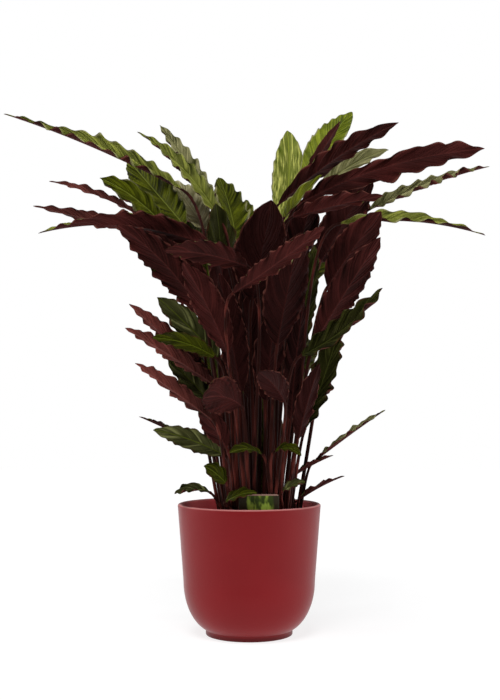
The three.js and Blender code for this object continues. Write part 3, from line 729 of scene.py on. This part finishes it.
def leaf_shape(leaf, line, random):
    """The points of a leaf's rings, with their faces, slots, numbers and map coordinates."""
    length = line["length"]
    knots, sway, stagger = wave_draws(length)
    pitch, starts = ripple_draws(leaf, random)
    blade_rings = (len(knots) - 1) * RINGS_PER_STEP + 1
    at, tangents, radius, along = leaf_rings(line, blade_rings)
    upper = carried_upper(tangents, line["upper"], len(at) - blade_rings + blade_rings // 2)
    twist = (line["twist"] * (along * 2 - 1))[:, None]
    upper = upper * np.cos(twist) + np.cross(tangents, upper) * np.sin(twist)
    side = unit(np.cross(tangents, upper))
    edge = np.maximum(radius * FLAT_SHARE, blade_share(along) * leaf.width / 2)
    bladed = np.clip(edge / radius - 1, 0, 1)
    swing = bladed * (LEAST_WAVE + WAVE_HEIGHT * edge)
    fold = math.radians(leaf.fold) * bladed
    ripple_height = np.clip(np.minimum(along, 1 - along) / RUN_IN, 0, 1) * bladed * leaf.ripple_height
    drawn_margin, drawn_at, drawn_shares = DRAWN_IN.get(leaf.name, (0, [0], [0]))

    points = np.zeros((len(at), len(RING), 3))
    numbers = {key: np.zeros((len(at), len(RING))) for key in NUMBERS}
    for column, (hand, q, face) in enumerate(RING):
        phase = along + (VEIN_LEAN * (1 - q) + VEIN_CURL * (1 - q * q)) * edge / length
        turned = leaf.wave_share * (1 if hand < 0 else stagger)
        wave = swayed(phase, knots, sway) * turned
        margin = swayed(along, knots, sway) * turned
        ripple, lobe = ripples(phase * length / pitch, starts[0 if hand < 0 else 1], ripple_height)
        out = q * edge * (1 + SCALLOP * bladed * margin * q) + lobe * LOBE_REACH * q**EDGE_POWER
        if hand == drawn_margin:
            out = out * (1 - np.interp(along, drawn_at, drawn_shares))
        lift = swing * wave * q**WAVE_POWER + ripple * q**RIPPLE_POWER
        rise = lift + BLADE_CROWN * edge * bladed * math.sin(math.pi * q)
        half = BLADE_THICKNESS / 2 * (1 - q**EDGE_POWER)
        rib = np.exp(-((out / MIDRIB_WIDTH) ** 2))
        keel = (np.minimum(radius, KEEL_DEPTH) - BLADE_THICKNESS / 2) * rib
        flat = rise + (half - MIDRIB_GROOVE * rib if face > 0 else -half - keel)
        flat_out = hand * (out * np.cos(fold) - flat * np.sin(fold))
        flat_up = out * np.sin(fold) + flat * np.cos(fold)
        round_out = hand * radius * math.sin(q * math.pi / 2)
        round_up = face * radius * math.cos(q * math.pi / 2)
        across = round_out + (flat_out - round_out) * bladed
        up = round_up + (flat_up - round_up) * bladed
        points[:, column] = at + side * across[:, None] + upper * up[:, None]
        # The lift, kept with each vertex so that the finishes paint light on the crests of the waves and
        # shade in their hollows
        lifted = np.clip(lift / HIGH_LIFT, -1, 1)
        for key, values in zip(NUMBERS, (out, phase * length, q, bladed, lifted)):
            numbers[key][:, column] = values

    faces, corners = leaf_faces(at)
    slots = np.repeat(np.where(bladed[:-1, None] > LEAST_BLADE, [[0, 1]], 2).ravel(), STRIPS * 2)
    numbers = {key: values.ravel() for key, values in numbers.items()}
    return points.reshape(-1, 3), faces, slots, numbers, corners


def capped(points, faces, slots, numbers, corners):
    """The same leaf with a middle point closing each end."""
    count, wide = len(points), len(RING)
    points = np.vstack([points, points[:wide].mean(0), points[-wide:].mean(0)])
    caps = []
    for column in range(wide):
        following = (column + 1) % wide
        caps.append((count, following, column))
        caps.append((count + 1, count - wide + column, count - wide + following))
    numbers = {key: np.concatenate([values, [values[0], values[-1]]]) for key, values in numbers.items()}
    spare = np.tile([[0.0, 0.0], [0.0, 0.001], [0.001, 0.0]], (len(caps), 1))
    slots = np.concatenate([slots, [2, 1] * wide])
    return points, np.vstack([faces, caps]), slots, numbers, np.vstack([corners, spare])


def make_leaf(name, blades):
    """A leaf, joined with those that share its sheath."""
    finishes = [STALK]
    points, faces, slots, corners = [], [], [], []
    numbers = {key: [] for key in NUMBERS}
    for order, (leaf, shape) in enumerate(blades):
        own_points, own_faces, own_slots, own_numbers, own_corners = shape
        sides = [GREENS[leaf.finish], OTHER_BURGUNDIES.get(leaf.finish, BURGUNDY)]
        finishes += [side for side in sides if side not in finishes]
        slots.append(np.array([finishes.index(side) for side in (*sides, STALK)])[own_slots])
        faces.append(own_faces + sum(len(earlier) for earlier in points))
        points.append(own_points)
        corners.append((own_corners + [order, 0]) / [len(blades), 1])
        for key, values in own_numbers.items():
            numbers[key].append(values)
    numbers = {key: np.concatenate(values) for key, values in numbers.items()}
    faces = np.vstack(faces).tolist()
    slots, corners = np.concatenate(slots), np.vstack(corners)
    piece = made_piece(f"velvet_leaf_{name}", np.vstack(points), faces, finishes, slots, numbers, corners)
    settled(piece, "leaf_burgundy" if blades[0][0].turn > 90 else "leaf_green", f"leaf_{name}")


def grow_leaves():
    feet = iter(spread_feet([leaf for leaf in LEAVES if not leaf.parent]))
    random = np.random.default_rng(11)
    lines, plant = {}, {}
    for leaf in LEAVES:
        parent = lines.get(leaf.parent)
        line = leaf_line(leaf, parent["collar"] if parent else next(feet), parent)
        blade = (leaf, capped(*leaf_shape(leaf, line, random)))
        if parent:
            plant[leaf.parent].append(blade)
        else:
            lines[leaf.name] = line
            plant[leaf.name] = [blade]
    for name, blades in plant.items():
        make_leaf(name, blades)


grow_leaves()


# Pots, soil and label. Their finishes measure in metres, as the shaders do
def lathe(name, profile, sides, material, slot, node, smooth=True):
    """A profile of [radius, height] points turned about the upright axis; its ends are points on the axis."""
    angles = np.arange(sides) * 2 * math.pi / sides
    points, starts = [], []
    for radius, height in profile:
        starts.append(len(points))
        if radius == 0:
            points.append((0, 0, height))
        else:
            points += [(radius * math.cos(angle), radius * math.sin(angle), height) for angle in angles]
    faces = []
    for low, high, (low_radius, _), (high_radius, _) in zip(starts, starts[1:], profile, profile[1:]):
        for side in range(sides):
            after = (side + 1) % sides
            a, b = (low, low) if low_radius == 0 else (low + side, low + after)
            c, d = (high, high) if high_radius == 0 else (high + after, high + side)
            faces.append(tuple(dict.fromkeys((a, b, c, d))))
    piece = made_piece(name, points, faces, [material], smooth=smooth)
    return settled(piece, slot, node)


def arc(centre, reach, start, end, steps):
    """Points of an elliptical arc, angles in degrees from the outward direction."""
    angles = np.radians(np.linspace(start, end, steps + 1))
    return [(centre[0] + reach[0] * math.cos(a), centre[1] + reach[1] * math.sin(a)) for a in angles]


def pot_paint(wire):
    """Matte red glaze, with painted light on the inner wall, a painted highlight along the rim, and painted
    shade at the foot.
    """
    cast = wire.noise(7, 3)
    grain = wire.noise(420, 3)
    height = wire.spot().part(2)
    flat = wire.node("VectorMath", {"operation": "MULTIPLY"}, {0: wire.spot(), 1: (1, 1, 0)})
    reach = wire.node("VectorMath", {"operation": "LENGTH"}, {0: flat}, "Value")
    # Painted light on the inner wall, which lies in the shade of the plant and the front wall
    within = height.step(0.15, 0.18) * (1 - reach.step(0.1016, 0.1026))
    glaze = wire.mix(cast.step(0.3, 0.7), linear(122, 11, 17), linear(130, 15, 21))
    inside = wire.mix(within, glaze, linear(225, 70, 74))
    speckled = wire.mix(grain.step(0.55, 0.8) * 0.2, inside, linear(140, 40, 44))
    # A painted highlight along the rim
    painted_rim_highlight = wire.mix(height.step(0.1925, 0.1943) * 0.6, speckled, linear(225, 150, 146))
    return {
        # Painted shade at the foot, darkest where it meets the floor
        "Base Color": wire.mix((1 - height.step(0.001, 0.012)) * 0.6, painted_rim_highlight, linear(44, 5, 8)),
        "Roughness": grain * 0.16 + 0.4,
        "Normal": wire.bump(cast * 0.6 + grain * 0.25, 0.0005),
    }


def grower_paint(wire):
    """Thin black plastic."""
    grain = wire.noise(600, 2)
    return {
        "Base Color": wire.mix(grain, linear(22, 22, 22), linear(38, 38, 37)),
        "Roughness": grain * 0.2 + 0.4,
        "Normal": wire.bump(grain, 0.0002),
    }


def soil_paint(wire):
    """Dark potting soil with paler fibres."""
    lumps = wire.noise(90, 6)
    fibres = wire.noise(260, 4, wire.place((1, 3, 1)))
    body = wire.mix(lumps.step(0.35, 0.7), linear(22, 14, 9), linear(74, 52, 36))
    return {
        "Base Color": wire.mix(fibres.step(0.62, 0.75), body, linear(112, 84, 60)),
        "Roughness": lumps * 0.1 + 0.88,
        "Normal": wire.bump(lumps + fibres * 0.5, 0.003),
    }


def label_paint(wire):
    """A card printed with a patch of leaves on a dark ground, and a pale strip along its top."""
    blades = wire.noise(150, 2, wire.place((1, 1, 0.35)))
    foliage = wire.mix(blades.step(0.4, 0.62), linear(52, 68, 14), linear(150, 176, 66))
    ground = wire.mix(wire.noise(60, 2), linear(26, 18, 8), linear(56, 50, 26))
    across = wire.spot().part(0) + wire.noise(120, 2) * 0.004
    patch = across.step(-0.002, 0.001) * (1 - across.step(0.034, 0.039))
    face = wire.mix(patch, ground, foliage)
    return {
        "Base Color": wire.mix(wire.spot().part(2).step(0.2125, 0.2132), face, linear(150, 116, 104)),
        "Normal": wire.bump(wire.noise(500, 2), 0.0001),
    }


def make_pot():
    profile = [(0, 0), (FOOT_RADIUS - FOOT_EDGE, 0), (FOOT_RADIUS - FOOT_EDGE * 0.3, FOOT_EDGE * 0.3)]
    profile += [(FOOT_RADIUS, FOOT_EDGE), (FOOT_RADIUS, FOOT_HEIGHT)]
    middle = (CORNER_RADIUS - CORNER_REACH, CORNER_HEIGHT)
    profile += arc(middle, (CORNER_REACH, CORNER_HEIGHT - FOOT_HEIGHT), -CORNER_TURN, 0, CORNER_STEPS)
    shoulder = POT_HEIGHT - WALL / 2
    for share in np.linspace(0, 1, SIDE_STEPS + 1)[1:-1]:
        radius = CORNER_RADIUS + (RIM_RADIUS - CORNER_RADIUS) * share
        profile.append((radius, CORNER_HEIGHT + (shoulder - CORNER_HEIGHT) * share))
    profile += arc((RIM_RADIUS - WALL / 2, shoulder), (WALL / 2, WALL / 2), 0, 180, RIM_STEPS)
    profile += arc(middle, (CORNER_REACH - WALL, CORNER_HEIGHT - FLOOR), 0, -CORNER_TURN, INSIDE_STEPS)
    profile += [(profile[-1][0] - WALL / 2, FLOOR), (0, FLOOR)]
    glaze = finish("pot_glaze", pot_paint, Specular_IOR_Level=0.2, Sheen_Weight=0.34, Sheen_Roughness=0.3)
    lathe("red_pot", profile, POT_SIDES, glaze, "pot_ceramic", "pot")


def make_grower_pot():
    inside_floor = GROWER_FLOOR + GROWER_WALL
    side = GROWER_RIM_RADIUS - GROWER_LIP
    lip = GROWER_RIM - GROWER_LIP * 2
    profile = [
        (0, GROWER_FLOOR),
        (GROWER_BASE_RADIUS - GROWER_HEEL, GROWER_FLOOR),
        (GROWER_BASE_RADIUS, GROWER_FLOOR + GROWER_HEEL),
        (side, lip),
        (GROWER_RIM_RADIUS - GROWER_EDGE, lip),
        (GROWER_RIM_RADIUS, lip + GROWER_EDGE),
        (GROWER_RIM_RADIUS, GROWER_RIM - GROWER_EDGE * 2),
        (GROWER_RIM_RADIUS - GROWER_EDGE * 2, GROWER_RIM),
        (side - GROWER_WALL, GROWER_RIM),
        (GROWER_BASE_RADIUS - GROWER_WALL, inside_floor),
        (0, inside_floor),
    ]
    plastic = finish("grower_plastic", grower_paint)
    lathe("black_grower_pot", profile, GROWER_SIDES, plastic, "black_plastic", "grower_pot", smooth=False)


def make_root_ball(earth, random):
    """A root ball with a lumpy top that rises towards its middle."""
    profile = [(0, SOIL_FLOOR), (SOIL_BASE_RADIUS, SOIL_FLOOR), (SOIL_RADIUS - SOIL_EDGE / 2, SOIL_TOP - 2)]
    profile += [(radius, SOIL_TOP) for radius in np.linspace(SOIL_RADIUS - SOIL_EDGE, 2, SOIL_RINGS)]
    profile.append((0, SOIL_TOP))
    ball = lathe("root_ball", profile, SOIL_SIDES, earth, "soil", "soil")
    for vertex in ball.data.vertices:
        x, y, z = vertex.co
        if z > (SOIL_TOP - 1) * MM:
            reach = math.hypot(x, y) / (SOIL_RADIUS * MM)
            lumps = math.sin(x * 410 + 2) * math.sin(y * 370) + 0.6 * math.sin(x * 900 + y * 700)
            raised = LUMP_HEIGHT * lumps + GRAIN_HEIGHT * random.random()
            vertex.co.z += (raised - SOIL_SINK + SOIL_RISE * (1 - reach)) * MM


def scatter_crumbs(earth, random):
    """Eight-sided crumbs of bark and peat, lying on the root ball."""
    corners = np.array([(1, 0, 0), (-1, 0, 0), (0, 1, 0), (0, -1, 0), (0, 0, 1), (0, 0, -1)], float)
    around = [(0, 2, 4), (2, 1, 4), (1, 3, 4), (3, 0, 4), (2, 0, 5), (1, 2, 5), (3, 1, 5), (0, 3, 5)]
    points, faces = [], []
    for _ in range(CRUMBS):
        reach = (SOIL_RADIUS - CRUMB_MARGIN) * math.sqrt(random.random())
        angle = 2 * math.pi * random.random()
        size = LEAST_CRUMB + CRUMB_RANGE * random.random() ** 2
        shape = corners * (size * (0.6 + 0.7 * random.random((6, 1)))) * (1, 0.8, 0.55)
        twist = 2 * math.pi * random.random()
        ahead, aside = math.cos(twist), math.sin(twist)
        turn = np.array([[ahead, -aside, 0], [aside, ahead, 0], [0, 0, 1]])
        height = SOIL_TOP + 0.6 + 1.5 * (1 - reach / SOIL_RADIUS)
        faces += [tuple(len(points) + corner for corner in face) for face in around]
        points += list(shape @ turn.T + (reach * math.cos(angle), reach * math.sin(angle), height))
    crumbs = made_piece("soil_crumbs", points, faces, [earth], smooth=False)
    settled(crumbs, "soil", "soil")


def make_soil():
    random = np.random.default_rng(5)
    earth = finish("potting_soil", soil_paint)
    make_root_ball(earth, random)
    scatter_crumbs(earth, random)


def label_half_width(height):
    """Half the width of the pointed stake, and above it of the card with its round corners."""
    if height < LABEL_BOTTOM - CARD_HALF_THICKNESS / 2:
        share = min(1, (height - STAKE_TIP) / STAKE_POINT)
        return STAKE_TIP_HALF_WIDTH + (STAKE_HALF_WIDTH - STAKE_TIP_HALF_WIDTH) * share
    near = min(LABEL_CORNER, height - LABEL_BOTTOM, LABEL_TOP - height)
    corner = math.sqrt(max(0, LABEL_CORNER**2 - (LABEL_CORNER - near) ** 2))
    return LABEL_HALF_WIDTH - LABEL_CORNER + corner


def make_label():
    """A thin, slightly bowed card on a pointed stake."""
    stake = [(STAKE_TIP, 152, 6), (155, 171.6, 5)]
    card = [(LABEL_BOTTOM, 176, 7), (180, 211, 10), (211.5, LABEL_TOP, 7)]
    heights = np.concatenate([np.linspace(*span) for span in stake + card])
    points, faces = [], []
    for face in (-CARD_HALF_THICKNESS, CARD_HALF_THICKNESS):
        for height in heights:
            for x in np.linspace(-1, 1, LABEL_COLUMNS) * label_half_width(height):
                bow = LABEL_BOW * (x / LABEL_HALF_WIDTH) ** 2
                points.append((LABEL_ACROSS + x, -LABEL_FRONT + face + bow, height))
    wide, back = LABEL_COLUMNS, LABEL_COLUMNS * len(heights)
    for row in range(0, back - wide, wide):
        for a in range(row, row + wide - 1):
            b = a + back
            faces.append((a, a + 1, a + 1 + wide, a + wide))
            faces.append((b, b + wide, b + 1 + wide, b + 1))
        for a, b in ((row, row + wide), (row + wide * 2 - 1, row + wide - 1)):
            faces.append((a, b, b + back, a + back))
    for column in range(wide - 1):
        for a, b in ((column + 1, column), (back - wide + column, back - wide + column + 1)):
            faces.append((a, b, b + back, a + back))
    print_finish = finish("label_print", label_paint, Roughness=0.55, Specular_IOR_Level=0.2)
    settled(made_piece("green_label", points, faces, [print_finish]), "label_card", "plant_label")


make_pot()
make_grower_pot()
make_soil()
make_label()


# Studio floor and light
STUDIO_REACH = 4000
STUDIO_DROP = 0.4
SIDE_GLOW = 2.6
LEAST_GLOW = 0.03


def floor_paint(wire):
    """A nearly even pale grey."""
    return {"Base Color": wire.mix(wire.noise(3, 2), linear(140, 140, 141), linear(146, 146, 146))}


pale = finish(
    "pale_floor",
    floor_paint,
    Roughness=0.9,
    Specular_IOR_Level=0,
    Emission_Strength=0.8,
    Emission_Color=(1, 1, 1, 1),
)
ways = ((-1, -1), (1, -1), (1, 1), (-1, 1))
corners = [(x * STUDIO_REACH, y * STUDIO_REACH, -STUDIO_DROP) for x, y in ways]
made_piece("floor", corners, [(0, 1, 2, 3)], [pale])

# The studio is white to the camera, and lights the plant from both sides, and little from the front
world = bpy.data.worlds.new("studio")
world.use_nodes = True
studio = Wire(world.node_tree)
background = world.node_tree.nodes["Background"]
seen = studio.node("LightPath", None, None, "Is Camera Ray")
sideways = studio.node("TexCoord", None, None, "Generated").part(0)
glow = (sideways * sideways) ** 2 * SIDE_GLOW + LEAST_GLOW
world.node_tree.links.new((seen + (1 - seen) * glow).socket, background.inputs["Strength"])
background.inputs["Color"].default_value = (1, 1, 1, 1)
bpy.context.scene.world = world
bpy.context.scene.view_settings.view_transform = "Standard"

# A wide softbox above the plant, a little to its front and left
lamp = bpy.data.lights.new("softbox_top", "SUN")
lamp.energy = 1.8
lamp.angle = 0.4
softbox = bpy.data.objects.new("softbox_top", lamp)
softbox.rotation_euler = (math.radians(27), math.radians(-6), 0)
bpy.context.scene.collection.objects.link(softbox)
